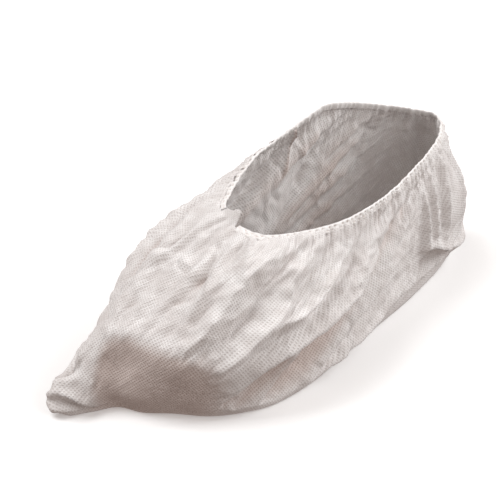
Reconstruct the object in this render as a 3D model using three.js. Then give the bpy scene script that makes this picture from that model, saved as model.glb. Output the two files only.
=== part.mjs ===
import * as THREE from "three";

// A disposable shoe cover in its worn form: one folded nonwoven blank with a flat sole, open on top,
// and a gathered hem with its elastic round the opening. Millimetres, toe at -Y, heel at +Y, +Z up.

// Sizes of the cloth and the hem.
const WALL = 1.2;
const HEM_GAP = 0.4;
const HEM_HEIGHT = 6;
const HEM_THICKNESS = 2.6;
const HEM_BULGE = 0.5;

// Columns round the opening and rows down the wall.
const COLUMNS_PER_STATION = 8;
const RIM_PIECES_PER_STATION = 8;
const BISECTIONS = 12;
const WALL_ROWS = 11;
const EDGE_ROW = 0.05;
const SOLE_ROWS = 2;

// Gathers under the hem: how many, how deep, and how far down the wall they fade out.
const GATHERS_PER_STATION = 2;
const GATHER_DEPTH = 1.1;
const GATHER_FADE = 0.9;
const HEM_RUFFLE = 0.7;

// Folds lie down to nothing over this many levels above the sole edge.
const SETTLE_LEVELS = 0.8;

// The end of the front seam stands up at the throat as a small tab, between the two ends of the hem.
const TAB = { from: -1, to: 0.13, topNear: 106, topFar: 101 };
const TAB_FOOT = 0.1;
const HEM_END_CLEARANCE = 0.16;

// The sole closes on a straight line from toe to heel.
const SPINE = { toe: [-8, -126], heel: [0, 130] };

// A table as objects: each row's values under the column names.
function named(names, rows) {
  return rows.map((row) => Object.fromEntries(names.map((name, column) => [name, row[column]])));
}

// One row per station round the opening, from the toe along the outer side to the heel and back.
// Each ray runs from the rim over the shoulder and the girth to the lower crease and the sole edge.
const LEVELS = ["rim", "shoulder", "girth", "crease", "sole"];
const STATIONS = named(LEVELS, [
  [[2, -57, 94], [-4, -100, 80], [-12, -137, 52], [-14, -152, 18], [-13, -146]],
  [[19, -54, 92], [18, -100, 77], [12, -134, 50], [4, -144, 18], [2, -139.6]],
  [[32, -37, 92], [32, -86, 76], [31, -128, 48], [22, -133, 18], [16, -128]],
  [[39, -18, 91.5], [43, -68, 72], [45, -112, 42], [38, -118, 14], [34, -115]],
  [[41.5, -1, 91], [49, -46, 66], [55, -85, 42], [50, -99, 12], [47.5, -96]],
  [[41.5, 17, 91], [49, -22, 66], [59, -58, 44], [57, -74, 12], [54, -78]],
  [[40.5, 34, 91.5], [49, 5, 68], [58, -28, 47], [59, -45, 13], [55.5, -50]],
  [[38, 52, 93], [47, 32, 70], [54, 5, 45], [55, -15, 18], [52, -20]],
  [[35.5, 70, 96], [44, 58, 70], [48, 42, 45], [48, 25, 20], [46, 22]],
  [[31, 90, 98], [41, 88, 72], [45, 84, 46], [42, 78, 22], [39, 76]],
  [[18, 121, 98.5], [27, 134, 74], [30, 139, 46], [28, 136, 20], [25, 131]],
  [[0, 140, 99], [0, 156, 72], [0, 161, 46], [0, 158, 20], [0, 152]],
  [[-18, 123, 105], [-27, 133, 78], [-30, 137, 46], [-28, 134, 20], [-25, 129]],
  [[-32, 96, 112.5], [-40, 90, 80], [-42, 84, 46], [-39, 76, 22], [-36, 74]],
  [[-37.5, 70, 118], [-43, 62, 82], [-44, 46, 45], [-41, 32, 20], [-37, 30]],
  [[-39, 50, 114], [-45, 36, 82], [-46, 10, 46], [-42, -8, 18], [-38, -10]],
  [[-39.5, 32, 110], [-47, 10, 82], [-50, -20, 48], [-47, -42, 16], [-44, -45]],
  [[-39, 15, 107], [-48, -18, 81], [-54, -52, 50], [-53, -76, 14], [-50, -78]],
  [[-36.5, 0, 105], [-47, -45, 81], [-54, -82, 55], [-54, -106, 13], [-50, -105]],
  [[-31, -19, 101], [-46, -72, 81], [-50, -112, 50], [-47, -135, 18], [-43, -130]],
  [[-21, -40, 98.5], [-38, -92, 82], [-40, -143, 38], [-42, -176, 13], [-31, -171]],
  [[-11, -54, 99], [-22, -101, 81], [-26, -142, 49], [-25, -166, 12], [-21, -160]],
]);

// Folds and dents, one row each: a path on the wall in stations and levels (0 rim, 1 shoulder, 2 girth,
// 3 crease, 4 sole edge), its height, and its widths to the left and right of the path seen from outside.
const FOLDS = [
  { path: [[2.36, 0.2], [1.94, 1.0], [1.82, 2.0]], height: 3.5, left: 5, right: 11 },
  { path: [[2.9, 0.3], [2.7, 1.0], [2.5, 1.7]], height: -2.5, left: 9, right: 5 },
  { path: [[3.5, 0.2], [3.3, 0.8], [2.9, 1.4]], height: 2.5, left: 5, right: 8 },
  { path: [[4.39, 0.4], [4.3, 1.2], [3.0, 2.0]], height: 4, left: 5, right: 12 },
  { path: [[5.3, 0.6], [5.0, 1.4], [4.0, 1.95]], height: -2.5, left: 8, right: 5 },
  { path: [[6.6, 0.9], [5.8, 1.9], [3.35, 2.7]], height: 5.5, left: 6, right: 14 },
  { path: [[6.9, 2.0], [5.9, 2.35], [3.7, 2.9]], height: -3.5, left: 9, right: 6 },
  { path: [[4.6, 0.2], [5.5, 0.7], [6.6, 1.3]], height: -2, left: 4, right: 5 },
  { path: [[7.6, 0.4], [7.6, 1.2], [7.0, 2.2]], height: 3, left: 4, right: 9 },
  { path: [[8.3, 0.4], [8.3, 1.2], [8.0, 2.1]], height: 2, left: 4, right: 7 },
  { path: [[8.9, 0.3], [9.0, 1.2], [8.9, 2.2]], height: 2, left: 4, right: 5 },
  { path: [[9.6, 0.3], [9.6, 1.2], [9.5, 2.5]], height: 2.2, left: 4, right: 5 },
  { path: [[10.3, 0.3], [10.3, 1.2], [10.2, 2.6]], height: 2.2, left: 5, right: 6 },
  { path: [[9.0, 2.25], [9.4, 2.5], [10.2, 2.75], [11.2, 2.8]], height: 2.5, left: 12, right: 4 },
  { path: [[8.9, 2.5], [7.4, 2.8], [5.6, 3.2]], height: 2.5, left: 4, right: 11 },
  { path: [[0.39, 0.5], [0.55, 1.2], [0.58, 1.8]], height: -2.5, left: 5, right: 4 },
  { path: [[0.75, 0.5], [1.0, 1.0], [1.28, 1.7]], height: 2.5, left: 8, right: 5 },
  { path: [[21.0, 0.4], [20.7, 0.8], [20.3, 1.1]], height: -3, left: 5, right: 5 },
  { path: [[19.5, 2.3], [20.0, 2.5], [20.7, 2.6]], height: -7, left: 9, right: 9 },
  { path: [[20.7, 2.0], [21.8, 2.7], [21.9, 3.5]], height: 3, left: 5, right: 5 },
  { path: [[0.1, 2.9], [0.5, 2.75], [1.2, 2.6]], height: 1.5, left: 4, right: 8 },
  { path: [[19.2, 0.4], [19.1, 1.2], [19.4, 2.0]], height: 2, left: 6, right: 8 },
  { path: [[17.4, 0.4], [17.5, 1.2], [18.4, 2.2]], height: 4, left: 6, right: 11 },
  { path: [[15.4, 0.5], [15.8, 1.3], [17.2, 2.5]], height: 4.5, left: 6, right: 12 },
  { path: [[13.8, 0.4], [14.0, 1.3], [14.6, 2.3]], height: 3, left: 5, right: 8 },
  { path: [[12.6, 0.3], [12.6, 1.2], [12.7, 2.5]], height: 2, left: 5, right: 5 },
];
const FOLD_STEPS = 20;
const FOLD_END_FADE = 0.7;

const LAST_LEVEL = LEVELS.length - 1;
const STATION_COUNT = STATIONS.length;
const COLUMNS = STATION_COUNT * COLUMNS_PER_STATION;

const CLOTH_COLOUR = 0xe9e4df;
const HEM_COLOUR = 0xf2efec;

// Smooth curve through four neighbouring values, from the second to the third.
function blend(before, start, end, after, share) {
  const slope = (end - before) * share;
  const bend = (2 * before - 5 * start + 4 * end - after) * share ** 2;
  const twist = (3 * start - before - 3 * end + after) * share ** 3;
  return 0.5 * (2 * start + slope + bend + twist);
}

function blendPoints(points, share) {
  const mix = (axis) => blend(...points.map((point) => point[axis]), share);
  return [mix(0), mix(1), mix(2)];
}

function levelPoint(station, level) {
  const row = STATIONS[((station % STATION_COUNT) + STATION_COUNT) % STATION_COUNT];
  const [x, y, z = 0] = row[LEVELS[level]];
  return [x, y, z];
}

// A level's point anywhere round the opening.
function aroundPoint(around, level) {
  const station = Math.floor(around);
  const neighbours = [-1, 0, 1, 2].map((step) => levelPoint(station + step, level));
  return blendPoints(neighbours, around - station);
}

function beyond(outer, inner) {
  return outer.map((value, axis) => 2 * value - inner[axis]);
}

// The smooth wall: a point at a place round the opening and a level between rim and sole edge.
function wallPoint(around, level) {
  const ray = LEVELS.map((name, index) => aroundPoint(around, index));
  const first = beyond(ray[0], ray[1]);
  const last = beyond(ray[LAST_LEVEL], ray[LAST_LEVEL - 1]);
  const knots = [first, ...ray, last];
  const start = Math.min(Math.floor(level), LAST_LEVEL - 1);
  return new THREE.Vector3(...blendPoints(knots.slice(start, start + 4), level - start));
}

function wallNormal(around, level) {
  const step = 0.02;
  const up = wallPoint(around, Math.max(level - step, 0));
  const down = wallPoint(around, Math.min(level + step, LAST_LEVEL));
  const along = wallPoint(around + step, level).sub(wallPoint(around - step, level));
  return down.sub(up).cross(along).normalize();
}

// Each fold's path laid on the smooth wall, with the direction to its left along the wall.
function layFold(fold) {
  const path = new THREE.SplineCurve(fold.path.map(([around, level]) => new THREE.Vector2(around, level)));
  const places = path.getPoints(FOLD_STEPS);
  const points = places.map(({ x, y }) => wallPoint(x, y));
  const pieces = places.slice(1).map(({ x, y }, index) => {
    const line = new THREE.Line3(points[index], points[index + 1]);
    const leftward = wallNormal(x, y).cross(line.delta(new THREE.Vector3()));
    return { line, leftward };
  });
  return { ...fold, pieces };
}

const LAID_FOLDS = FOLDS.map(layFold);

// Height one fold adds at a point of the wall: its own width on each side, fading at its ends.
function foldHeight(fold, point) {
  const found = { distance: Infinity, leftward: 0, share: 0 };
  const nearest = new THREE.Vector3();
  fold.pieces.forEach(({ line, leftward }, index) => {
    line.closestPointToPoint(point, true, nearest);
    const distance = nearest.distanceTo(point);
    if (distance < found.distance) {
      found.distance = distance;
      found.leftward = point.clone().sub(nearest).dot(leftward);
      found.share = (index + line.closestPointToPointParameter(point, true)) / FOLD_STEPS;
    }
  });
  const width = found.leftward > 0 ? fold.left : fold.right;
  const fade = Math.sin(Math.PI * found.share) ** FOLD_END_FADE;
  return fold.height * fade * Math.exp(-((found.distance / width) ** 2));
}

function gatherWave(around) {
  const drift = 0.35 * Math.sin(around * 1.7) + 0.25 * Math.sin(around * 3.1 + 1);
  return Math.cos(2 * Math.PI * GATHERS_PER_STATION * around + drift);
}

const RIM_PIECES = Array.from({ length: STATION_COUNT * RIM_PIECES_PER_STATION }, (unused, index) => {
  const [from, to] = [index, index + 1].map((step) => wallPoint(step / RIM_PIECES_PER_STATION, 0));
  return new THREE.Line3(from, to);
});

// Direction down the wall, square to the rim.
function downward(around) {
  const step = 0.02;
  const along = wallPoint(around + step, 0).sub(wallPoint(around - step, 0)).normalize();
  return along.cross(wallNormal(around, 0)).normalize();
}

// The place on the hem's top edge nearest to a point of the wall, and the distance to it.
function nearestRim(point) {
  const nearest = new THREE.Vector3();
  return RIM_PIECES.reduce((best, line, index) => {
    line.closestPointToPoint(point, true, nearest);
    const distance = nearest.distanceTo(point);
    if (distance >= best.distance) {
      return best;
    }
    const share = line.closestPointToPointParameter(point, true);
    return { distance, around: (index + share) / RIM_PIECES_PER_STATION };
  }, { distance: Infinity, around: 0 });
}

// Where a ray leaves the hem: the level one hem height and a gap below the hem's top edge.
function bodyTop(around) {
  let [above, below] = [0, 1];
  for (let step = 0; step < BISECTIONS; step += 1) {
    const middle = (above + below) / 2;
    if (nearestRim(wallPoint(around, middle)).distance < HEM_HEIGHT + HEM_GAP) {
      above = middle;
    } else {
      below = middle;
    }
  }
  return below;
}

// The height of the tab's top edge, or nothing beside the tab.
function tabTop(around) {
  const place = around > STATION_COUNT / 2 ? around - STATION_COUNT : around;
  if (place < TAB.from || place > TAB.to) {
    return null;
  }
  const share = (place - TAB.from) / (TAB.to - TAB.from);
  return TAB.topFar + (TAB.topNear - TAB.topFar) * share;
}

// The folded wall: the smooth wall with its folds and the gathers that come down from the hem.
function clothPoint(around, level, gather) {
  const point = wallPoint(around, level);
  const settle = Math.min(1, (LAST_LEVEL - level) / SETTLE_LEVELS);
  const folds = LAID_FOLDS.reduce((sum, fold) => sum + foldHeight(fold, point), 0);
  const gathers = GATHER_DEPTH * gather * Math.exp(-level / GATHER_FADE);
  return point.addScaledVector(wallNormal(around, level), (folds + gathers) * settle);
}

// A point of the hem or of the body's edge under it: out from the wall and down from the hem's top edge.
function hemPoint(around, out, down) {
  const point = wallPoint(around, 0).addScaledVector(wallNormal(around, 0), out);
  return point.addScaledVector(downward(around), down);
}

// One column of the body: outer points from the top edge to the sole edge, and the inner point at the top.
function bodyColumn(around) {
  const top = bodyTop(around);
  const rim = nearestRim(wallPoint(around, top)).around;
  const gather = gatherWave(rim);
  const edgeOut = HEM_RUFFLE * gather;
  const outer = [hemPoint(rim, edgeOut, HEM_HEIGHT + HEM_GAP)];
  let innerTop = hemPoint(rim, edgeOut - WALL, HEM_HEIGHT + HEM_GAP);
  for (let row = 1; row <= WALL_ROWS; row += 1) {
    const share = EDGE_ROW + ((1 - EDGE_ROW) * (row - 1)) / (WALL_ROWS - 1);
    outer.push(clothPoint(around, top + (LAST_LEVEL - top) * share, gather));
  }
  const tab = tabTop(around);
  if (tab !== null) {
    const inward = wallNormal(around, 0).setZ(0).normalize().multiplyScalar(-WALL);
    outer[0] = wallPoint(around, 0).setZ(tab);
    outer[1] = wallPoint(around, TAB_FOOT);
    innerTop = outer[0].clone().add(inward);
  }
  outer[WALL_ROWS].z = 0;
  return { outer, innerTop };
}

function spinePoint(around, height) {
  const share = (2 * Math.min(around, STATION_COUNT - around)) / STATION_COUNT;
  const x = SPINE.toe[0] + (SPINE.heel[0] - SPINE.toe[0]) * share;
  const y = SPINE.toe[1] + (SPINE.heel[1] - SPINE.toe[1]) * share;
  return new THREE.Vector3(x, y, height);
}

// A grid of points as two triangles per square, wound so that the outer face looks away from the hollow.
function gridTriangles(columns, rows, offset, flip) {
  const triangles = [];
  const at = (column, row) => offset + (column % columns) * rows + row;
  for (let column = 0; column < columns; column += 1) {
    for (let row = 0; row < rows - 1; row += 1) {
      const [a, b] = [at(column, row), at(column, row + 1)];
      const [c, d] = [at(column + 1, row), at(column + 1, row + 1)];
      triangles.push(...(flip ? [a, c, b, c, d, b] : [a, b, c, c, b, d]));
    }
  }
  return triangles;
}

function surfaceOf(points, triangles) {
  const values = points.flatMap((point) => point.toArray());
  const geometry = new THREE.BufferGeometry();
  geometry.setAttribute("position", new THREE.Float32BufferAttribute(values, 3));
  geometry.setIndex(triangles);
  geometry.computeVertexNormals();
  return geometry;
}

function meshOf(name, points, triangles, colour) {
  const geometry = surfaceOf(points, triangles);
  const material = new THREE.MeshStandardMaterial({ color: colour, roughness: 0.92, metalness: 0 });
  const mesh = new THREE.Mesh(geometry, material);
  mesh.name = name;
  return mesh;
}

// The body: outer wall and sole, then the same moved inwards by the cloth's thickness, joined along the rim.
function coverBody() {
  const rows = WALL_ROWS + 1 + SOLE_ROWS;
  const columns = Array.from({ length: COLUMNS }, (unused, index) => bodyColumn(index / COLUMNS_PER_STATION));
  const soleRow = (edge, column, height, row) => {
    return edge.clone().lerp(spinePoint(column / COLUMNS_PER_STATION, height), row / SOLE_ROWS);
  };
  const outer = columns.flatMap((column, index) => {
    const edge = column.outer[WALL_ROWS];
    const sole = Array.from({ length: SOLE_ROWS }, (unused, row) => soleRow(edge, index, 0, row + 1));
    return [...column.outer, ...sole];
  });
  const normals = surfaceOf(outer, gridTriangles(COLUMNS, rows, 0, false)).getAttribute("normal");
  const moveIn = (index, flat) => {
    const normal = new THREE.Vector3().fromBufferAttribute(normals, index);
    if (flat) {
      normal.setZ(0).normalize();
    }
    return outer[index].clone().addScaledVector(normal, -WALL);
  };
  const inner = columns.flatMap((column, index) => {
    const wall = [column.innerTop];
    for (let row = 1; row <= WALL_ROWS; row += 1) {
      wall.push(moveIn(index * rows + row, row === WALL_ROWS));
    }
    const edge = wall[WALL_ROWS].setZ(WALL);
    const sole = Array.from({ length: SOLE_ROWS }, (unused, row) => soleRow(edge, index, WALL, row + 1));
    return [...wall, ...sole];
  });
  const triangles = gridTriangles(COLUMNS, rows, 0, false);
  triangles.push(...gridTriangles(COLUMNS, rows, outer.length, true));
  for (let column = 0; column < COLUMNS; column += 1) {
    const [a, b] = [column * rows, ((column + 1) % COLUMNS) * rows];
    const [c, d] = [a + outer.length, b + outer.length];
    triangles.push(a, b, c, b, d, c);
  }
  return meshOf("cover_body", [...outer, ...inner], triangles, CLOTH_COLOUR);
}

// The hem: a flat ruffled casing above the body's edge, from one side of the tab round to the other.
function elasticHem() {
  const start = TAB.to + HEM_END_CLEARANCE;
  const end = STATION_COUNT + TAB.from - HEM_END_CLEARANCE;
  const columns = Math.round((end - start) * COLUMNS_PER_STATION);
  const half = HEM_THICKNESS / 2;
  const section = [
    { out: half, down: HEM_HEIGHT, ruffle: 1 },
    { out: half + HEM_BULGE, down: HEM_HEIGHT / 2, ruffle: 0.6 },
    { out: half, down: 0, ruffle: 0.8 },
    { out: -half, down: 0, ruffle: 0.8 },
    { out: -half - HEM_BULGE, down: HEM_HEIGHT / 2, ruffle: 0.6 },
    { out: -half, down: HEM_HEIGHT, ruffle: 1 },
  ];
  const points = [];
  for (let column = 0; column <= columns; column += 1) {
    const around = start + ((end - start) * column) / columns;
    const wave = HEM_RUFFLE * gatherWave(around);
    section.forEach(({ out, down, ruffle }) => {
      points.push(hemPoint(around, out - WALL / 2 + wave * ruffle, down));
    });
  }
  const size = section.length;
  const triangles = [];
  for (let column = 0; column < columns; column += 1) {
    for (let corner = 0; corner < size; corner += 1) {
      const a = column * size + corner;
      const b = column * size + ((corner + 1) % size);
      triangles.push(a, a + size, b, b, a + size, b + size);
    }
  }
  const lastRing = columns * size;
  for (let corner = 1; corner < size - 1; corner += 1) {
    triangles.push(0, corner, corner + 1);
    triangles.push(lastRing, lastRing + corner + 1, lastRing + corner);
  }
  return meshOf("elastic_hem", points, triangles, HEM_COLOUR);
}

const cover = new THREE.Group();
cover.name = "shoe_cover";
cover.add(coverBody(), elasticHem());

export default cover;
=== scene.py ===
import math

import bpy
import numpy as np
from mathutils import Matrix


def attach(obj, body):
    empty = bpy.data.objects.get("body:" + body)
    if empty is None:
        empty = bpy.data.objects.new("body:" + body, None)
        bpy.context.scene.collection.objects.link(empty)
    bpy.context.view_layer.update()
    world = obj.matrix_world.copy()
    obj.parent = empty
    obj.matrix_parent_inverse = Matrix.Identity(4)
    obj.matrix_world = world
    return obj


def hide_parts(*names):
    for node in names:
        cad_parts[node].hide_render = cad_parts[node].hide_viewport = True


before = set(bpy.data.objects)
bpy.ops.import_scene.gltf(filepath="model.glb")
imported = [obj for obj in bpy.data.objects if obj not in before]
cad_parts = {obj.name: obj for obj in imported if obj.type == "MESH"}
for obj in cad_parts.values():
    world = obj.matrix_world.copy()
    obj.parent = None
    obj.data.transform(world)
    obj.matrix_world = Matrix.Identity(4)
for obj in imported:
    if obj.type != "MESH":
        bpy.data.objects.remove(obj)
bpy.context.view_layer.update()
bpy.ops.object.select_all(action="DESELECT")

# The cover body is one folded blank of white spunbond nonwoven, kept in the form it takes when worn.
# It is a single thin wall with a flat sole, loose folds down its sides, a bag corner at the toe and a fold
# tucked under the heel. The cloth is pressed all over with small staggered dots.
MM = 0.001
CLOTH_THICKNESS = 0.45 * MM

# Rim, shoulder, girth and crease (x, y, z) and sole edge (x, y) in millimetres, a row for each station
# from the toe along the outer side to the heel and back along the inner side.
STATIONS = [
    ((2, -57, 94), (-4, -100, 80), (-12, -137, 52), (-14, -152, 18), (-13, -146)),
    ((19, -54, 92), (18, -100, 77), (12, -134, 50), (4, -144, 18), (2, -139.6)),
    ((32, -37, 92), (32, -86, 76), (31, -128, 48), (22, -133, 18), (16, -128)),
    ((39, -18, 91.5), (43, -68, 72), (45, -112, 42), (38, -118, 14), (34, -115)),
    ((41.5, -1, 91), (49, -46, 66), (55, -85, 42), (50, -99, 12), (47.5, -96)),
    ((41.5, 17, 91), (49, -22, 66), (59, -58, 44), (57, -74, 12), (54, -78)),
    ((40.5, 34, 91.5), (49, 5, 68), (58, -28, 47), (59, -45, 13), (55.5, -50)),
    ((38, 52, 93), (47, 32, 70), (54, 5, 45), (55, -15, 18), (52, -20)),
    ((35.5, 70, 96), (44, 58, 70), (48, 42, 45), (48, 25, 20), (46, 22)),
    ((31, 90, 98), (41, 88, 72), (45, 84, 46), (42, 78, 22), (39, 76)),
    ((18, 121, 98.5), (27, 134, 74), (30, 139, 46), (28, 136, 20), (25, 131)),
    ((0, 140, 99), (0, 156, 72), (0, 161, 46), (0, 158, 20), (0, 152)),
    ((-18, 123, 105), (-27, 133, 78), (-30, 137, 46), (-28, 134, 20), (-25, 129)),
    ((-32, 96, 112.5), (-40, 90, 80), (-42, 84, 46), (-39, 76, 22), (-36, 74)),
    ((-37.5, 70, 118), (-43, 62, 82), (-44, 46, 45), (-41, 32, 20), (-37, 30)),
    ((-39, 50, 114), (-45, 36, 82), (-46, 10, 46), (-42, -8, 18), (-38, -10)),
    ((-39.5, 32, 110), (-47, 10, 82), (-50, -20, 48), (-47, -42, 16), (-44, -45)),
    ((-39, 15, 107), (-48, -18, 81), (-54, -52, 50), (-53, -76, 14), (-50, -78)),
    ((-36.5, 0, 105), (-47, -45, 81), (-54, -82, 55), (-54, -106, 13), (-50, -105)),
    ((-31, -19, 101), (-46, -72, 81), (-50, -112, 50), (-47, -135, 18), (-43, -130)),
    ((-21, -40, 98.5), (-38, -92, 82), (-40, -143, 38), (-42, -176, 13), (-31, -171)),
    ((-11, -54, 99), (-22, -101, 81), (-26, -142, 49), (-25, -166, 12), (-21, -160)),
]
KNOTS = np.array([[*row[:4], (*row[4], 0)] for row in STATIONS], float)
STATION_COUNT = len(STATIONS)
LAST_LEVEL = 4
SPINE_TOE = np.array((-8, -126, 0.0))
SPINE_HEEL = np.array((0, 130, 0.0))


def blend(before, start, end, after, share):
    """Smooth curve through four neighbouring values, from the second to the third."""
    bend = (2 * before - 5 * start + 4 * end - after) * share**2
    twist = (3 * start - before - 3 * end + after) * share**3
    return 0.5 * (2 * start + (end - before) * share + bend + twist)


def wall(around, level):
    """Points of the smooth wall: around in stations, level 0 at the rim to 4 at the sole edge."""
    around = np.asarray(around, float) % STATION_COUNT
    level = np.asarray(level, float)
    station = np.floor(around).astype(int)
    share = (around - station)[..., None, None]
    ray = blend(*(KNOTS[(station + step) % STATION_COUNT] for step in (-1, 0, 1, 2)), share)
    first = 2 * ray[..., :1, :] - ray[..., 1:2, :]
    last = 2 * ray[..., -1:, :] - ray[..., -2:-1, :]
    ray = np.concatenate([first, ray, last], -2)
    start = np.clip(np.floor(level), 0, LAST_LEVEL - 1).astype(int)
    near = [np.take_along_axis(ray, (start + step)[..., None, None], -2)[..., 0, :] for step in range(4)]
    return blend(*near, (level - start)[..., None])


def unit(vectors):
    return vectors / np.maximum(np.linalg.norm(vectors, axis=-1, keepdims=True), 1e-9)


def wall_normal(around, level, step=0.02):
    along = wall(around + step, level) - wall(around - step, level)
    down = wall(around, np.minimum(level + step, LAST_LEVEL)) - wall(around, np.maximum(level - step, 0))
    return unit(np.cross(down, along))


# Folds: a path in stations and levels, the rise in millimetres, and how far the fold spreads to the left
# and to the right of its path seen from outside. The first ones run down the outer side.
FOLDS = [
    (((0.82, 0.12), (1.26, 0.42), (1.92, 1.0)), 4, 12, 2.5),
    (((2.36, 0.3), (2.1, 0.66), (1.97, 1.0), (2.05, 1.4), (1.98, 1.72), (1.78, 2.0)), 5, 9, 9),
    (((3.25, 0.3), (3.21, 0.63), (3.26, 0.93), (3.5, 1.4), (3.1, 1.8)), 3.3, 3, 9),
    (
        ((4.28, 0.45), (4.46, 0.8), (4.42, 1.2), (4.2, 1.5), (3.64, 1.58), (3.32, 1.75), (2.93, 2.04)),
        6.5, 3.5, 14,
    ),
    (
        ((6.64, 1.2), (6.4, 1.5), (6.15, 1.76), (5.6, 1.9), (4.6, 2.06), (3.83, 2.25), (3.24, 2.76)),
        9, 3.5, 16,
    ),
    (((8.03, 1.3), (7.9, 1.75), (7.48, 1.9), (7.24, 2.34), (6.8, 2.6)), 4.5, 3.5, 11),
    (((8.85, 2.5), (8.75, 2.95), (8.3, 3.05), (7.7, 3.1), (7.2, 3.2), (6.4, 3.3), (5.6, 3.4)), 7, 2.5, 9),
    # The lower edge of the heel's tuck, the hollow under it, the flat back and its pleats.
    (
        ((8.66, 2.1), (8.85, 2.2), (9.0, 2.3), (9.25, 2.6), (9.5, 2.92), (9.9, 3.1), (11.2, 3.1),
         (12.4, 2.8)),
        5.5, 10, 2.2,
    ),
    (((8.72, 2.55), (8.9, 2.7), (9.15, 2.9), (9.4, 3.25)), -4.5, 4, 9),
    (((10.4, 0.15), (10.5, 1.4), (10.6, 2.9)), -10.5, 20, 20),
    (((8.35, 0.4), (8.6, 1.15), (8.72, 1.9), (8.78, 2.4)), 3.4, 4.5, 3),
    (((8.78, 0.35), (8.84, 1.0), (8.92, 1.7), (9.0, 2.4)), 3.2, 3, 2.5),
    (((9.2, 0.3), (9.13, 1.0), (9.15, 1.8), (9.2, 2.6)), -2, 1.8, 1.8),
    (((9.38, 0.25), (9.28, 1.0), (9.27, 1.8), (9.3, 2.7)), 3.4, 6, 2),
    (((9.75, 0.25), (9.72, 1.2), (9.75, 2.6)), 1.8, 2.5, 3.5),
    (((10.2, 0.25), (10.2, 1.2), (10.15, 2.7)), 1.5, 2.5, 4),
    # Folds and dents over the instep, then the toe cap's upper edge and its creases.
    (((0.26, 0.39), (0.62, 0.8), (0.6, 1.05), (0.56, 1.74)), -4, 5, 3),
    (((0.58, 0.27), (0.75, 0.66), (1.07, 1.1), (1.22, 1.5)), 3.6, 6, 3.5),
    (((21.5, 0.84), (21.8, 0.96), (22.32, 0.95)), -2.7, 2.5, 5),
    (((21.0, 0.4), (20.8, 0.81), (20.3, 1.0)), -5, 4, 5),
    (((20.24, 1.35), (20.88, 1.22), (21.18, 1.07)), -2.7, 3, 4),
    (((20.32, 1.62), (20.71, 1.5), (21.0, 1.4)), -2.4, 3, 4),
    (((21.3, 2.15), (21.7, 2.1), (22.2, 2.04), (22.85, 1.97), (23.7, 2.0)), 2.4, 11, 9),
    (((21.6, 2.4), (22.1, 2.6), (22.55, 2.78)), -1.5, 9, 9),
    (((3.8, 1.75), (3.3, 1.95), (2.8, 2.2)), 2, 1.8, 5),
    (((4.1, 2.45), (3.65, 2.7), (3.2, 3.0)), 2, 1.8, 5),
    # The bag corner: its notch, its lip, the cloth under the lip and the dent on top.
    (((18.9, 2.3), (19.5, 2.44), (20.1, 2.5), (20.8, 2.5)), -9, 10, 3),
    (((20.1, 2.95), (20.35, 2.93), (20.6, 2.9), (21.1, 3.12), (21.45, 3.5), (21.8, 3.8)), 3.5, 5, 1.8),
    (((19.8, 3.25), (20.4, 3.2), (20.9, 3.25), (21.4, 3.6)), -1.5, 2.5, 4),
    (((19.9, 3.5), (20.45, 3.5), (21.0, 3.55)), 4, 5, 5),
    (((19.3, 2.8), (19.8, 2.84), (20.3, 2.84)), -4.5, 7, 6),
    # Folds down the inner side.
    (((19.2, 0.4), (19.1, 1.2), (19.4, 2.0)), 3, 6, 8),
    (((17.4, 0.4), (17.5, 1.2), (18.4, 2.2)), 6, 14, 4),
    (((15.4, 0.5), (15.8, 1.3), (17.2, 2.5)), 6.5, 15, 4),
    (((13.8, 0.4), (14.0, 1.3), (14.6, 2.3)), 4.5, 10, 4),
    (((12.6, 0.3), (12.6, 1.2), (12.7, 2.5)), 3, 5, 4),
    (((11.6, 0.3), (11.6, 1.2), (11.6, 2.6)), 3, 4, 5),
]
FOLD_STEPS = 28
FOLD_END_FADE = 0.6
FOLD_REACH = 3.2
STEEP_POWER, GENTLE_POWER = 2.0, 1.25
FOOT_DEPTH, FOOT_PLACE, FOOT_WIDTH = 0.3, 2.0, 0.8


def path_points(path, steps):
    """Evenly spread points on a smooth curve through a fold's few path points."""
    path = np.array(path, float)
    padded = np.vstack([2 * path[0] - path[1], path, 2 * path[-1] - path[-2]])
    place = np.linspace(0, len(path) - 1, steps)
    start = np.minimum(place.astype(int), len(path) - 2)
    return blend(*(padded[start + step] for step in range(4)), (place - start)[:, None])


def add_fold(height, crest, points, path, rise, left, right):
    """Adds one fold to the heights at the wall points: gentle on its wide side, steep on the other."""
    places = path_points(path, FOLD_STEPS)
    line = wall(places[:, 0], places[:, 1])
    normal = wall_normal(places[:, 0], places[:, 1])
    reach = FOLD_REACH * max(left, right)
    near = np.flatnonzero(((points > line.min(0) - reach) & (points < line.max(0) + reach)).all(1))
    if not near.size:
        return
    begin, run = line[:-1], np.diff(line, axis=0)
    offset = points[near, None, :] - begin
    share = np.clip((offset * run).sum(-1) / (run**2).sum(-1), 0, 1)
    away = offset - share[..., None] * run
    distance = np.linalg.norm(away, axis=-1)
    best = distance.argmin(1)
    row = np.arange(len(near))
    leftward = (away[row, best] * np.cross(normal[1:], run)[best]).sum(-1) > 0
    spread = distance[row, best] / np.where(leftward, left, right)
    narrow = leftward == (left < right)
    fade = np.sin(np.pi * (best + share[row, best]) / (FOLD_STEPS - 1)) ** FOLD_END_FADE
    ridge = np.exp(-(spread ** np.where(narrow, STEEP_POWER, GENTLE_POWER)))
    foot = np.where(narrow, FOOT_DEPTH * np.exp(-(((spread - FOOT_PLACE) / FOOT_WIDTH) ** 2)), 0)
    height[near] += rise * fade * (ridge - foot)
    crest[near] = np.maximum(crest[near], fade * ridge)


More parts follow.
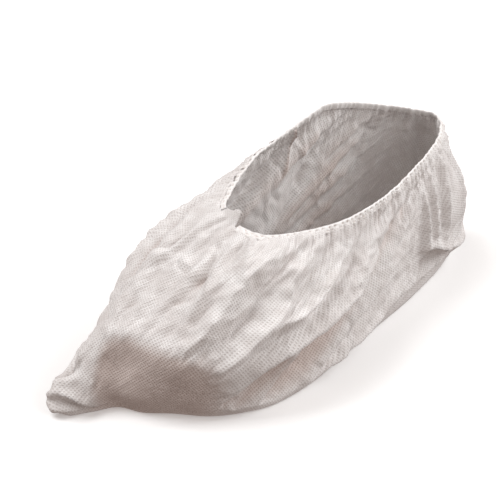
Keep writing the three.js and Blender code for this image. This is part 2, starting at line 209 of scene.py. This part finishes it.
# The blank's grid: columns round the opening from the inner side, rows from the sole's middle line up to
# the hem.
COLUMNS = 600
WALL_ROWS = 72
SOLE_ROWS = 6
BODY_TOP = 0.07
ROW_SPREAD = 0.9
FIRST_STATION = 15.5
around = FIRST_STATION + np.arange(COLUMNS + 1) * STATION_COUNT / COLUMNS
levels = LAST_LEVEL - (LAST_LEVEL - BODY_TOP) * np.linspace(0, 1, WALL_ROWS + 1) ** ROW_SPREAD
grid_level, grid_around = np.meshgrid(levels, around, indexing="ij")

# Close under the hem the columns run square to it, as the gathers do, and further down along the stations.
SQUARE_REACH = 0.45
SLANT_SMOOTHING = 41
SLANT_MOST = 2.4
RIM_STEP, RIM_DROP = 0.1, 0.3
rim_level = np.zeros(COLUMNS + 1)
rim_line = wall(around, rim_level)
along_rim = (wall(around + RIM_STEP, rim_level) - wall(around - RIM_STEP, rim_level)) / (2 * RIM_STEP)
down_rim = (wall(around, rim_level + RIM_DROP) - rim_line) / RIM_DROP
slant = -(down_rim * along_rim).sum(1) / (along_rim**2).sum(1)
evened = np.ones(SLANT_SMOOTHING) / SLANT_SMOOTHING
slant = np.convolve(np.tile(slant[:-1], 3), evened, "same")[COLUMNS : 2 * COLUMNS + 1]
slant = np.clip(slant, -SLANT_MOST, SLANT_MOST)
grid_around = grid_around + slant * SQUARE_REACH * (1 - np.exp((BODY_TOP - grid_level) / SQUARE_REACH))
smooth = wall(grid_around, grid_level)
normals = wall_normal(grid_around, grid_level)
height = np.zeros(grid_level.size)
crest = np.zeros(grid_level.size)
for path, rise, left, right in FOLDS:
    add_fold(height, crest, smooth.reshape(-1, 3), path, rise, left, right)

# Each fold also has a sharp crease, and short creases lie between them. They are pressed in last.
CREASE_RISE, CREASE_WIDTH, CREASE_LEAST = 0.32, 0.28, 1.4
CREASES = 280
CREASE_LEVELS = (0.3, 3.1)
CREASE_ALONG, CREASE_DOWN = (-0.75, 0.35), (0.1, 0.5)
CREASE_BEND, CREASE_BEND_DOWN = (-0.15, 0.15), (-0.08, 0.08)
CREASE_HEIGHT, CREASE_LEFT, CREASE_RIGHT = (0.7, 1.6), (1.4, 2), (2, 5)
LOW_FADE = 0.8
crease = np.zeros(grid_level.size)
ignored = np.zeros(grid_level.size)
for path, rise, left, right in FOLDS:
    widths = (max(CREASE_LEAST, CREASE_WIDTH * side) for side in (left, right))
    add_fold(crease, ignored, smooth.reshape(-1, 3), path, CREASE_RISE * rise, *widths)
pick = np.random.default_rng(21)
for _ in range(CREASES):
    start = np.array((pick.uniform(0, STATION_COUNT), pick.uniform(*CREASE_LEVELS)))
    run = np.array((pick.uniform(*CREASE_ALONG), pick.uniform(*CREASE_DOWN)))
    bend = np.array((pick.uniform(*CREASE_BEND), pick.uniform(*CREASE_BEND_DOWN)))
    path = (start, start + run / 2 + bend, start + run)
    rise = pick.choice((-1, 1)) * pick.uniform(*CREASE_HEIGHT)
    widths = pick.uniform(*CREASE_LEFT), pick.uniform(*CREASE_RIGHT)
    add_fold(crease, ignored, smooth.reshape(-1, 3), path, rise, *widths)
low_fade = np.clip((LAST_LEVEL - grid_level) / LOW_FADE, 0, 1)
height = height.reshape(grid_level.shape) * low_fade
crest = crest.reshape(grid_level.shape)

# Gathers come down from the hem: fine ones fade first, and wider ones carry on between the folds.
rim_place = np.concatenate([[0], np.cumsum(np.linalg.norm(np.diff(rim_line, axis=0), axis=1))])
rim_length = rim_place[-1]
PLEAT_ROUND, PLEAT_SINK = 0.6, 0.42


def pleats(places, pitch, spread, depth, seed, least=0.5):
    """Rounded bumps with sharp valleys between, unevenly spaced along the rim."""
    pick = np.random.default_rng(seed)
    count = int(round(rim_length / pitch))
    widths = 1 + pick.uniform(-spread, spread, count)
    ends = np.concatenate([[0], np.cumsum(widths)]) * rim_length / widths.sum()
    depths = depth * pick.uniform(least, 1.0, count)
    index = np.clip(np.searchsorted(ends, places, side="right") - 1, 0, count - 1)
    share = np.clip((places - ends[index]) / (ends[index + 1] - ends[index]), 0, 1)
    return depths[index] * np.sin(np.pi * share) ** PLEAT_ROUND - PLEAT_SINK * depth


# Pitch in millimetres, how uneven it is, depth in millimetres, how far down they fade, and the seed.
GATHERS = [(4.7, 0.3, 4.2, 0.46, 11), (10.5, 0.4, 3.6, 0.6, 12), (19, 0.45, 3.2, 0.9, 13)]
HEM_LEVEL, HEM_FLATTENS = 0.12, 0.75
gathers = np.zeros(grid_level.shape)
for pitch, spread, depth, fade, seed in GATHERS:
    gathers += pleats(rim_place, pitch, spread, depth, seed) * np.exp(-grid_level / fade)
gathers *= 1 - HEM_FLATTENS * np.exp(-((grid_level / HEM_LEVEL) ** 2))

# The end of the front seam stands up flat at the throat, between the two ends of the hem. The rows above
# the wall run all round while the cloth is laid flat, and are cut away beside it afterwards.
TAB_FROM, TAB_TO = -1.0, 0.05
TAB_TOP_FAR, TAB_TOP_NEAR = np.array((-10.5, -55, 98.5)), np.array((3.2, -55.3, 103))
TAB_WAVE, TAB_WAVES = 0.6, 11
TAB_ROWS = 6
TOP_REACH = 1.5
place = (around + STATION_COUNT / 2) % STATION_COUNT - STATION_COUNT / 2
tab = (place >= TAB_FROM) & (place <= TAB_TO)
tab_share = (place[tab] - TAB_FROM) / (TAB_TO - TAB_FROM)

# The sole closes on a line from toe to heel, where the columns of its two sides meet in pairs.
TOE_COLUMN = 177.5
from_toe = np.abs((np.arange(COLUMNS + 1) - TOE_COLUMN + COLUMNS / 2) % COLUMNS - COLUMNS / 2)
spine = SPINE_TOE + (SPINE_HEEL - SPINE_TOE) * (2 * from_toe / COLUMNS)[:, None]
sole_share = np.linspace(0, 1, SOLE_ROWS + 1)[:-1, None, None]
sole = spine + (smooth[0] - spine) * sole_share


def formed(extra):
    """The cloth's points, in millimetres, with a height added along the wall's own direction."""
    walls = smooth + normals * extra[..., None]
    top = walls[-1] + (rim_line - smooth[-1]) * TOP_REACH
    top[tab] = TAB_TOP_FAR + (TAB_TOP_NEAR - TAB_TOP_FAR) * tab_share[:, None]
    top[tab, 2] += TAB_WAVE * np.sin(TAB_WAVES * tab_share)
    share = np.arange(1, TAB_ROWS + 1)[:, None, None] / TAB_ROWS
    return np.concatenate([sole, walls, walls[-1] + (top - walls[-1]) * share])


plain = formed(0 * height)
ROWS = len(plain) - 1
bpy.ops.mesh.primitive_grid_add(x_subdivisions=COLUMNS, y_subdivisions=ROWS, size=0.4)
cover = bpy.context.object
cover.name = cover.data.name = "cover_cloth"

# The wall is laid flat as one strip before it is folded, so that the pressed dots keep their size on it.
cover.data.vertices.foreach_set("co", plain.reshape(-1) * MM)
edge_ends = np.empty(len(cover.data.edges) * 2, int)
cover.data.edges.foreach_get("vertices", edge_ends)
at_sole = (edge_ends.reshape(-1, 2) // (COLUMNS + 1) == SOLE_ROWS).all(1)
cover.data.edges.foreach_set("use_seam", at_sole)
bpy.ops.object.mode_set(mode="EDIT")
bpy.ops.mesh.select_all(action="SELECT")
bpy.ops.uv.unwrap(method="MINIMUM_STRETCH", iterations=8)
bpy.ops.object.mode_set(mode="OBJECT")
cover.data.uv_layers[0].name = "cloth"
flat_map = np.empty(len(cover.data.loops) * 2)
cover.data.uv_layers["cloth"].data.foreach_get("uv", flat_map)
flat_map = flat_map.reshape(-1, 2)
corner_vertex = np.empty(len(cover.data.loops), int)
cover.data.loops.foreach_get("vertex_index", corner_vertex)
flat_place = np.zeros((plain.size // 3, 2))
flat_place[corner_vertex] = flat_map
TOE_SPAN, TOE_LEVEL = 40, 2
toe_column = int(np.argmin(np.abs(place)))
toe_row = SOLE_ROWS + int(np.argmin(np.abs(levels - TOE_LEVEL)))
near_toe = slice(toe_column - TOE_SPAN, toe_column + TOE_SPAN + 1)
toe_flat = flat_place.reshape(ROWS + 1, COLUMNS + 1, 2)[toe_row, near_toe]
flat_step = toe_flat[-1] - toe_flat[0]
true_step = np.linalg.norm(np.diff(plain[toe_row, near_toe], axis=0), axis=1).sum() * MM
lie = math.atan2(flat_step[1], flat_step[0])
level_out = np.array(((math.cos(lie), -math.sin(lie)), (math.sin(lie), math.cos(lie))))
flat_map = flat_map @ level_out * (true_step / np.linalg.norm(flat_step))
cover.data.uv_layers["cloth"].data.foreach_set("uv", flat_map.reshape(-1))
cover.data.vertices.foreach_set("co", formed(height).reshape(-1) * MM)


def merge_doubles(piece, distance):
    bpy.ops.object.select_all(action="DESELECT")
    bpy.context.view_layer.objects.active = piece
    piece.select_set(True)
    bpy.ops.object.mode_set(mode="EDIT")
    bpy.ops.mesh.select_all(action="SELECT")
    bpy.ops.mesh.remove_doubles(threshold=distance)
    bpy.ops.object.mode_set(mode="OBJECT")


# The blank is cut wider than the form it takes, most of all across the folds. It is drawn in over a few
# frames, held at the hem and the sole and less along the main folds, and the spare cloth buckles. A second,
# slighter run with softer cloth crumples it finely.
SPARE_CLOTH = np.array(((1.1, 0, 0), (0, 1.0, -0.06), (0, -0.06, 1.09)))
CRUMPLE_CLOTH = np.eye(3) * 1.025
HOLD_LOOSE, HOLD_CREST, HOLD_CRUMPLE, HOLD_HEEL = 0.03, 0.3, 0.25, 0.85
SOLE_GRIP_LEVEL, SOLE_GRIP_FADE = 3.3, 0.6
HEM_GRIP_LEVEL, HEM_GRIP_FADE = 0.3, 0.15
RIM_GRIP, RIM_GRIP_REACH = 0.3, 0.55


def patch(middle, half, middle_level, half_level, power=4):
    """1 inside a patch of the wall and 0 well outside it, in stations and levels."""
    turn = (grid_around - middle + STATION_COUNT / 2) % STATION_COUNT - STATION_COUNT / 2
    return np.exp(-((turn / half) ** power) - ((grid_level - middle_level) / half_level) ** power)


# The toe cap is drawn tight, the heel's pleats are pressed, and the bag corner keeps its own form.
toe_cap = patch(1.0, 2.2, 3.0, 9) * patch(1.0, 9, 3.05, 1.0, 8)
heel_back = patch(10.4, 2.1, 1.4, 1.6)
bag_corner = patch(20.4, 1.2, 2.9, 0.9)
sole_grip = (grid_level - SOLE_GRIP_LEVEL) / SOLE_GRIP_FADE
hem_grip = (HEM_GRIP_LEVEL - grid_level) / HEM_GRIP_FADE
edge_grip = np.clip(np.maximum(sole_grip, hem_grip), 0, 1)
edge_grip = np.maximum(edge_grip, RIM_GRIP * np.exp(-((grid_level / RIM_GRIP_REACH) ** 2)))
local_grip = np.maximum.reduce([edge_grip, toe_cap, HOLD_HEEL * heel_back, bag_corner])
grips = {
    "draw": np.maximum(local_grip, HOLD_LOOSE + (HOLD_CREST - HOLD_LOOSE) * crest),
    "crumple": np.maximum(local_grip, HOLD_CRUMPLE),
}
for name, grip in grips.items():
    group = cover.vertex_groups.new(name=name)
    grip = np.concatenate([np.ones(sole.shape[:2]), grip, np.ones((TAB_ROWS, COLUMNS + 1))])
    for index, weight in enumerate(grip.reshape(-1)):
        group.add([index], weight, "REPLACE")

# How far the cloth stands off its tight form, in millimetres, is kept for its tone: the dark shoe showing
# through where the cloth lies close, and painted shade in the fold valleys. The corner, the heel, the
# instep and the hem count as looser than they lie, and the toe cap and the gathers' valleys as tighter,
# which paints shade into the gathers' valleys.
LOOSE_CORNER, LOOSE_HEEL, LOOSE_INSTEP, LOOSE_HEM, LOOSE_HEM_REACH = 7, 11, 4.5, 3, 0.4
TIGHT_CAP, VALLEY_PAINTED_SHADE = 9, 3.8
instep = patch(22.2, 3.4, 0.9, 1.1)
loose = LOOSE_CORNER * bag_corner + LOOSE_HEEL * heel_back + LOOSE_INSTEP * instep - TIGHT_CAP * toe_cap
# Painted shade: the gathers' valleys count as tighter, so their tone darkens.
loose += LOOSE_HEM * np.exp(-((grid_level / LOOSE_HEM_REACH) ** 2)) + VALLEY_PAINTED_SHADE * np.minimum(gathers, 0)
tight_form = smooth - normals * loose[..., None]
for name, below, values in (("tight", sole, tight_form), ("outward", 0 * sole, normals)):
    kept = cover.data.attributes.new(name, "FLOAT_VECTOR", "POINT")
    values = np.concatenate([below, values, np.repeat(values[-1:], TAB_ROWS, axis=0)])
    kept.data.foreach_set("vector", values.reshape(-1))
CAP_SMOOTHS = 0.7
pressed = gathers + crease.reshape(grid_level.shape) * low_fade * (1 - CAP_SMOOTHS * toe_cap)
kept = cover.data.attributes.new("pressed", "FLOAT", "POINT")
pressed = np.concatenate([0 * sole[..., 0], pressed, np.repeat(pressed[-1:], TAB_ROWS, axis=0) * (1 - tab)])
kept.data.foreach_set("value", pressed.reshape(-1))
in_tab = np.concatenate([np.ones((ROWS + 1 - TAB_ROWS, COLUMNS + 1)), np.tile(tab, (TAB_ROWS, 1))])
kept = cover.data.attributes.new("kept", "FLOAT", "POINT")
kept.data.foreach_set("value", in_tab.reshape(-1))
merge_doubles(cover, 0.01 * MM)


def settle(piece, spare, grip, bending, drawn_frame, settled_frame):
    """Draws the wider cloth in to its form and lets it settle."""
    shape = np.empty(len(piece.data.vertices) * 3)
    piece.data.vertices.foreach_get("co", shape)
    wide = (shape.reshape(-1, 3) @ spare).reshape(-1)
    basis = piece.shape_key_add(name="wide")
    drawn = piece.shape_key_add(name="drawn_in")
    drawn.data.foreach_set("co", shape)
    basis.data.foreach_set("co", wide)
    piece.data.vertices.foreach_set("co", wide)
    for share, moment in ((0, 1), (1, drawn_frame)):
        drawn.value = share
        drawn.keyframe_insert("value", frame=moment)
    cloth = piece.modifiers.new("cloth", "CLOTH")
    fabric = cloth.settings
    fabric.quality = 5
    fabric.mass = 0.02
    fabric.tension_stiffness = fabric.compression_stiffness = 20
    fabric.shear_stiffness = 8
    fabric.bending_stiffness = bending
    fabric.tension_damping = fabric.compression_damping = fabric.shear_damping = 8
    fabric.bending_damping = 1
    fabric.vertex_group_mass = grip
    fabric.pin_stiffness = 1
    fabric.effector_weights.gravity = 0
    cloth.collision_settings.use_collision = False
    cloth.point_cache.frame_end = settled_frame
    for moment in range(1, settled_frame + 1):
        bpy.context.scene.frame_set(moment)
    settled = piece.evaluated_get(bpy.context.evaluated_depsgraph_get())
    settled.data.vertices.foreach_get("co", shape)
    piece.modifiers.remove(cloth)
    piece.shape_key_clear()
    piece.data.vertices.foreach_set("co", shape)
    bpy.context.scene.frame_set(1)


settle(cover, SPARE_CLOTH, "draw", bending=60, drawn_frame=9, settled_frame=18)
settle(cover, CRUMPLE_CLOTH, "crumple", bending=0.3, drawn_frame=4, settled_frame=9)
cover.vertex_groups.clear()
bpy.ops.object.modifier_add(type="SMOOTH")
cover.modifiers[-1].factor = 0.5
cover.modifiers[-1].iterations = 1
bpy.ops.object.modifier_apply(modifier=cover.modifiers[-1].name)


def read(piece, attribute, field, width):
    values = np.empty(len(piece.data.vertices) * width)
    piece.data.attributes[attribute].data.foreach_get(field, values)
    return values.reshape(-1, width)


# The gathers and creases are pressed in, the rows beside the seam end are cut away, and the cloth gets its
# thickness.
formed_cloth = read(cover, "position", "vector", 3) / MM
formed_cloth += read(cover, "outward", "vector", 3) * read(cover, "pressed", "value", 1)
cover.data.vertices.foreach_set("co", formed_cloth.reshape(-1) * MM)
# The stand-off carries the painted shade of the valleys into the cloth's tone.
stand_and_shade = ((formed_cloth - read(cover, "tight", "vector", 3)) * read(cover, "outward", "vector", 3)).sum(1)
cover.data.attributes.new("stand_and_shade", "FLOAT", "POINT")
cover.data.attributes["stand_and_shade"].data.foreach_set("value", stand_and_shade)
beside_tab = read(cover, "kept", "value", 1)[:, 0] < 0.5
for name in ("tight", "outward", "pressed", "kept"):
    cover.data.attributes.remove(cover.data.attributes[name])
bpy.ops.object.mode_set(mode="EDIT")
bpy.ops.mesh.select_mode(type="VERT")
bpy.ops.mesh.select_all(action="DESELECT")
bpy.ops.object.mode_set(mode="OBJECT")
cover.data.vertices.foreach_set("select", beside_tab)
bpy.ops.object.mode_set(mode="EDIT")
bpy.ops.mesh.delete(type="VERT")
bpy.ops.object.mode_set(mode="OBJECT")
bpy.ops.object.shade_smooth()
bpy.ops.object.modifier_add(type="SOLIDIFY")
cover.modifiers[-1].thickness = CLOTH_THICKNESS
cover.modifiers[-1].offset = -1
bpy.ops.object.modifier_apply(modifier=cover.modifiers[-1].name)


class Shade:
    """A shader socket that takes part in Python expressions."""

    def __init__(self, tree, socket=None):
        self.tree = tree
        self.socket = socket

    def node(self, kind, settings=None, output=0, **sockets):
        added = self.tree.nodes.new(kind)
        for name, value in (settings or {}).items():
            setattr(added, name, value)
        for name, value in sockets.items():
            key = int(name[1:]) if name[0] == "_" else name.replace("_", " ")
            if isinstance(value, Shade):
                self.tree.links.new(value.socket, added.inputs[key])
            else:
                added.inputs[key].default_value = value
        return Shade(self.tree, added.outputs[output])

    def math(self, operation, *values):
        sockets = {f"_{index}": value for index, value in enumerate(values)}
        return self.node("ShaderNodeMath", {"operation": operation}, **sockets)

    def __add__(self, other):
        return self.math("ADD", self, other)

    def __sub__(self, other):
        return self.math("SUBTRACT", self, other)

    def __rsub__(self, other):
        return self.math("SUBTRACT", other, self)

    def __mul__(self, other):
        return self.math("MULTIPLY", self, other)

    def __truediv__(self, other):
        return self.math("DIVIDE", self, other)

    __radd__ = __add__
    __rmul__ = __mul__

    def ramp(self, low, high, start=0.0, end=1.0):
        settings = {"interpolation_type": "SMOOTHSTEP"}
        return self.node("ShaderNodeMapRange", settings, _0=self, _1=low, _2=high, _3=start, _4=end)


def new_material(name):
    material = bpy.data.materials.new(name)
    material.use_nodes = True
    return material, material.node_tree.nodes["Principled BSDF"], Shade(material.node_tree)


DOT_PITCH = 2.45 * MM
DOT_ROW = 1.4 * MM
DOT_SIZE = 1.5 * MM
# The tint deepens as the cloth stands closer in: the dark shoe showing through, and painted shade in fold
# valleys, gathers' valleys and the hem's pockets.
STAND_TIGHT, STAND_LOOSE = -7.0, 0.5
THROUGH_AND_SHADE_MOST = 0.72
TIGHT_DOTS = 0.28
DOT_INNER, DOT_OUTER, DOT_TONE = 0.25, 0.5, 0.8
FIBRE_SCALE, FIBRE_RELIEF, CLOUD_SCALE, CLOUD_SHARE = 900.0, 0.3, 70.0, 0.6
THROUGH_AND_SHADE_TINT = (0.77, 0.665, 0.62, 1)


def nonwoven(name, pale, deep, dots):
    """White spunbond cloth: staggered pressed dots, loose fibres, and a deeper tint where drawn tight, for
    the dark shoe showing through and as painted shade in valleys and pockets.
    """
    material, shader, shade = new_material(name)
    spot = shade.node("ShaderNodeTexCoord", output="Object")
    grain = {"output": "Fac", "Vector": spot}
    fibre = shade.node("ShaderNodeTexNoise", Scale=FIBRE_SCALE, Detail=3.0, Roughness=0.7, **grain)
    cloud = shade.node("ShaderNodeTexNoise", Scale=CLOUD_SCALE, Detail=5.0, Roughness=0.6, **grain)
    relief = (fibre - 0.5) * FIBRE_RELIEF
    tone = CLOUD_SHARE * cloud.ramp(0.3, 0.7) + (1 - CLOUD_SHARE) * fibre.ramp(0.3, 0.7)
    if dots:
        place = shade.node("ShaderNodeUVMap", {"uv_map": "cloth"})
        across = shade.node("ShaderNodeSeparateXYZ", output="X", Vector=place) / DOT_PITCH
        up = shade.node("ShaderNodeSeparateXYZ", output="Y", Vector=place) / DOT_ROW
        row = up.math("FLOOR", up)
        across = across + row.math("MODULO", row, 2.0) * 0.5
        x = (across.math("FRACT", across) - 0.5) * (DOT_PITCH / DOT_SIZE)
        y = (up.math("FRACT", up) - 0.5) * (DOT_ROW / DOT_SIZE)
        off = shade.math("SQRT", x * x + y * y)
        dot = off.ramp(DOT_INNER, DOT_OUTER, 1.0, 0.0)
        relief = relief - dot
        tone = tone * (1 - dot * DOT_TONE)
    colour = shade.node("ShaderNodeMix", {"data_type": "RGBA"}, output=2, _0=tone, _6=deep, _7=pale)
    # Painted shade and shoe show-through: the tint is mixed in by how far the cloth stands off.
    stand_and_shade = shade.node("ShaderNodeAttribute", {"attribute_name": "stand_and_shade"}, output="Fac")
    tight = stand_and_shade.ramp(STAND_TIGHT, STAND_LOOSE, THROUGH_AND_SHADE_MOST, 0.0)
    if dots:
        tight = tight * (1 + dot * (TIGHT_DOTS / THROUGH_AND_SHADE_MOST))
    mixing = {"data_type": "RGBA", "blend_type": "MULTIPLY"}
    colour = shade.node("ShaderNodeMix", mixing, output=2, _0=tight, _6=colour, _7=THROUGH_AND_SHADE_TINT)
    bump = shade.node("ShaderNodeBump", Strength=0.6, Distance=0.0005, Height=relief)
    shade.tree.links.new(colour.socket, shader.inputs["Base Color"])
    shade.tree.links.new(bump.socket, shader.inputs["Normal"])
    shader.inputs["Roughness"].default_value = 0.85
    shader.inputs["Specular IOR Level"].default_value = 0.25
    shader.inputs["Sheen Weight"].default_value = 0.15
    shader.inputs["Sheen Roughness"].default_value = 0.5
    return material


CLOTH_PALE = (0.93, 0.915, 0.905, 1)
CLOTH_DEEP = (0.70, 0.655, 0.635, 1)
cover.data.materials.append(nonwoven("nonwoven_cloth", CLOTH_PALE, CLOTH_DEEP, True))
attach(cover, "root")
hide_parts("cover_body")

# The hem is the blank's edge folded over a thin elastic and gathered, a flat ruffled casing round the
# opening, held by two rows of stitches. It ends on both sides of the seam end at the throat.
HEM_COLUMNS = 1500
HEM_GAP = 0.02
# Across the casing: outward and downward in millimetres, and how much of the gathers it follows.
HEM_SECTION = [
    (-0.5, 5.2, 0.5), (0.1, 4.9, 0.5), (0.55, 4.5, 0.48), (0.75, 4.1, 0.46), (0.8, 3.7, 0.44),
    (0.8, 3.3, 0.42), (0.8, 2.9, 0.4), (0.8, 2.5, 0.38), (0.85, 2.1, 0.36), (0.9, 1.7, 0.34),
    (0.9, 1.3, 0.3), (0.85, 0.9, 0.26), (0.6, 0.4, 0.22), (0.0, 0.0, 0.2), (-0.5, 0.4, 0.2),
    (-0.8, 1.4, 0.25), (-0.8, 2.8, 0.35), (-0.8, 4.2, 0.45), (-0.5, 5.2, 0.5),
]
HEM_FOOT, HEM_SEAT = 0.1, 0.3
HEM_TAPER, HEM_END = 6.0, 0.2
HEM_FACE = 0.1
# The pockets' last number is a painted shade that darkens their hollows.
POCKET_DEPTH, POCKET_HEIGHT, POCKET_POWER, POCKET_PAINTED_SHADE = 0.9, 0.5, 0.7, 8
POCKET_ROWS = [(1.7, 0.0), (3.5, 2.4)]
hem_around = np.linspace(TAB_TO + HEM_GAP, STATION_COUNT + TAB_FROM - HEM_GAP, HEM_COLUMNS + 1)
hem_level = np.zeros(HEM_COLUMNS + 1)
hem_rim = wall(hem_around, hem_level)
hem_out = wall_normal(hem_around, hem_level)
hem_down = unit(np.cross(unit(np.gradient(hem_rim, axis=0)), hem_out))
hem_down *= np.sign(-hem_down[:, 2:])
hem_turn = (hem_around - FIRST_STATION) % STATION_COUNT + FIRST_STATION
hem_place = np.interp(hem_turn, around, rim_place)
ruffle_wave = np.zeros(HEM_COLUMNS + 1)
for pitch, spread, depth, fade, seed in GATHERS:
    ruffle_wave += pleats(hem_place, pitch, spread, depth, seed) * np.exp(-HEM_FOOT / fade)
hem_run = np.concatenate([[0], np.cumsum(np.linalg.norm(np.diff(hem_rim, axis=0), axis=1))])
full = np.clip(np.minimum(hem_run, hem_run[-1] - hem_run) / HEM_TAPER, HEM_END, 1)

# The stitches draw two rows of small pockets into the casing's outer side, with painted shade in each
# pocket's hollow.
pitch, spread, _, _, seed = GATHERS[0]
hem_points, hem_stand_and_shade = [], []
for out, drop, ruffle in HEM_SECTION:
    pocket = np.zeros(HEM_COLUMNS + 1)
    for row_drop, shift in POCKET_ROWS:
        open_share = pleats((hem_place + shift) % rim_length, pitch, spread, 1, seed, 1.0) + PLEAT_SINK
        closing = np.clip(1 - open_share, 0, 1) ** POCKET_POWER
        closing *= np.exp(-(((drop - row_drop) / POCKET_HEIGHT) ** 2))
        pocket = np.maximum(pocket, closing * (out > HEM_FACE))
    stand_off = full * (out + ruffle_wave * ruffle - POCKET_DEPTH * pocket) - HEM_SEAT
    hem_points.append(hem_rim + hem_out * stand_off[:, None] + hem_down * drop)
    # Painted shade: the casing's tone darkens inside the pockets.
    hem_stand_and_shade.append(STAND_LOOSE - POCKET_PAINTED_SHADE * pocket)
hem_points = np.stack(hem_points)
bpy.ops.object.select_all(action="DESELECT")
bpy.ops.mesh.primitive_grid_add(x_subdivisions=HEM_COLUMNS, y_subdivisions=len(HEM_SECTION) - 1, size=0.4)
hem = bpy.context.object
hem.name = hem.data.name = "hem_casing"
hem.data.vertices.foreach_set("co", hem_points.reshape(-1) * MM)
hem.data.attributes.new("stand_and_shade", "FLOAT", "POINT").data.foreach_set("value", np.concatenate(hem_stand_and_shade))
merge_doubles(hem, 0.001 * MM)
bpy.ops.object.mode_set(mode="EDIT")
bpy.ops.mesh.select_all(action="DESELECT")
bpy.ops.mesh.select_non_manifold()
bpy.ops.mesh.edge_face_add()
bpy.ops.mesh.select_all(action="SELECT")
bpy.ops.mesh.normals_make_consistent(inside=False)
bpy.ops.object.mode_set(mode="OBJECT")
bpy.ops.object.shade_smooth()
HEM_PALE = (0.92, 0.905, 0.89, 1)
HEM_DEEP = (0.78, 0.75, 0.73, 1)
hem.data.materials.append(nonwoven("nonwoven_hem", HEM_PALE, HEM_DEEP, False))
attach(hem, "root")
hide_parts("elastic_hem")

# The floor is a plain pale sheet that throws no light back on the cloth. The light is soft and pale, from
# lamps above the toe's inner side, behind the heel and at the outer side, with a warm tone from all round.
bpy.ops.object.select_all(action="DESELECT")
bpy.ops.mesh.primitive_plane_add(size=6, location=(0, 0, -0.0004))
floor = bpy.context.object
floor.name = "studio_floor"
floor_material, floor_shader, _ = new_material("pale_floor")
floor_shader.inputs["Base Color"].default_value = (0.93, 0.925, 0.92, 1)
floor_shader.inputs["Roughness"].default_value = 0.9
floor_shader.inputs["Emission Color"].default_value = (0.97, 0.99, 1, 1)
floor_shader.inputs["Emission Strength"].default_value = 0.16
floor.data.materials.append(floor_material)
floor.visible_diffuse = False

world = bpy.data.worlds.new("studio")
bpy.context.scene.world = world
world.use_nodes = True
background = world.node_tree.nodes["Background"]
background.inputs["Color"].default_value = (1.0, 0.85, 0.785, 1)
background.inputs["Strength"].default_value = 0.34

LAMP_SIZE = 1.0
LAMP_COLOUR = (0.96, 0.985, 1.0)
LAMP_AIM = np.array((0, 0, 0.05))
LAMPS = [
    ("key", (-0.6, -0.6, 1.38), 17.6),
    ("fill", (0.66, 1.14, 0.97), 15.5),
    ("side", (1.31, 0, 0.97), 6),
]
for name, spot, power in LAMPS:
    bpy.ops.object.light_add(type="AREA", location=spot)
    lamp = bpy.context.object
    lamp.name = name
    lamp.data.size = LAMP_SIZE
    lamp.data.energy = power
    lamp.data.color = LAMP_COLOUR
    lean = LAMP_AIM - np.array(spot, float)
    tilt = math.atan2(math.hypot(lean[0], lean[1]), -lean[2])
    lamp.rotation_euler = (tilt, 0, math.atan2(-lean[0], lean[1]))

CAMERA_TURN = math.radians(43)
CAMERA_RISE = math.radians(30)
CAMERA_DISTANCE = 0.866
CAMERA_AIM = np.array((-0.0125, -0.0315, 0.0596))
CAMERA_LENS, CAMERA_SENSOR = 100, 36
level_back = np.array((math.sin(CAMERA_TURN), -math.cos(CAMERA_TURN), 0)) * math.cos(CAMERA_RISE)
back = level_back + (0, 0, math.sin(CAMERA_RISE))
bpy.ops.object.camera_add(location=CAMERA_AIM + back * CAMERA_DISTANCE)
camera = bpy.context.object
camera.name = "photo_view"
camera.rotation_euler = (math.pi / 2 - CAMERA_RISE, 0, CAMERA_TURN)
camera.data.lens = CAMERA_LENS
camera.data.sensor_width = CAMERA_SENSOR
bpy.context.scene.camera = camera
bpy.context.scene.view_settings.view_transform = "Standard"
